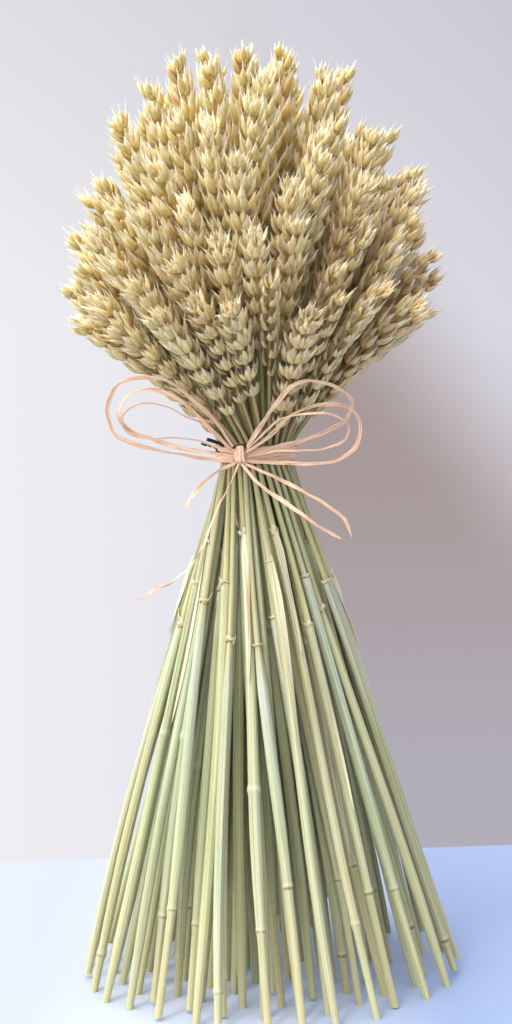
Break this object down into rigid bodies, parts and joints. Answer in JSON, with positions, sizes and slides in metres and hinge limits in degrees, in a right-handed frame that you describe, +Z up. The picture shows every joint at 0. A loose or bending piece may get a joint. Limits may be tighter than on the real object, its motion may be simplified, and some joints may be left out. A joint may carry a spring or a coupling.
{
  "type": "bundle of dried wheat",
  "caption": "Standing hand-tied sheaf of dried wheat: a dense dome of awnless ears on splayed, level-cut stems, tied at the neck with raffia.",
  "frame": {"origin": "centre of the middle stalk's level-cut foot, on the surface that the sheaf stands on", "axes": "+Z up along the middle stalk; the bow faces -Y; +X to the right seen from the front"},
  "size_m": [0.1985, 0.1988, 0.4755],
  "materials": {
    "straw": "dry straw-gold ears and pale sage-green stems, matte with a faint sheen",
    "raffia": "dry peach-tan palm fibre, satin, lengthwise fibres",
    "wire": "black, matte"
  },
  "bodies": {
    "root": {"raffia_band": "raffia", "raffia_knot": "raffia", "raffia_loop_left_inner": "raffia", "raffia_loop_left_outer": "raffia", "raffia_loop_right_inner": "raffia", "raffia_loop_right_outer": "raffia", "raffia_tail_left_long": "raffia", "raffia_tail_left_short": "raffia", "raffia_tail_right_lower": "raffia", "raffia_tail_right_upper": "raffia", "stalk_middle": "straw", "stalks_01": "straw", "stalks_02": "straw", "stalks_03": "straw", "stalks_04": "straw", "stalks_05": "straw", "stalks_06": "straw", "stalks_07": "straw", "stalks_08": "straw", "stalks_09": "straw", "stalks_10": "straw", "stalks_11": "straw", "stalks_12": "straw", "stalks_13": "straw", "stalks_14": "straw", "stalks_15": "straw", "stalks_16": "straw", "stalks_17": "straw", "stalks_18": "straw", "stalks_19": "straw", "stalks_20": "straw", "stalks_21": "straw", "stalks_22": "straw", "stalks_23": "straw", "stalks_24": "straw", "stalks_25": "straw", "stalks_26": "straw", "stalks_27": "straw", "stalks_28": "straw", "stalks_29": "straw", "stalks_30": "straw", "stalks_31": "straw", "stalks_32": "straw", "stalks_33": "straw", "stalks_34": "straw", "stalks_35": "straw", "stalks_36": "straw", "stalks_37": "straw", "stalks_38": "straw", "stalks_39": "straw", "stalks_40": "straw", "stalks_41": "straw", "wire_tie": "wire"}
  },
  "joints": []
}
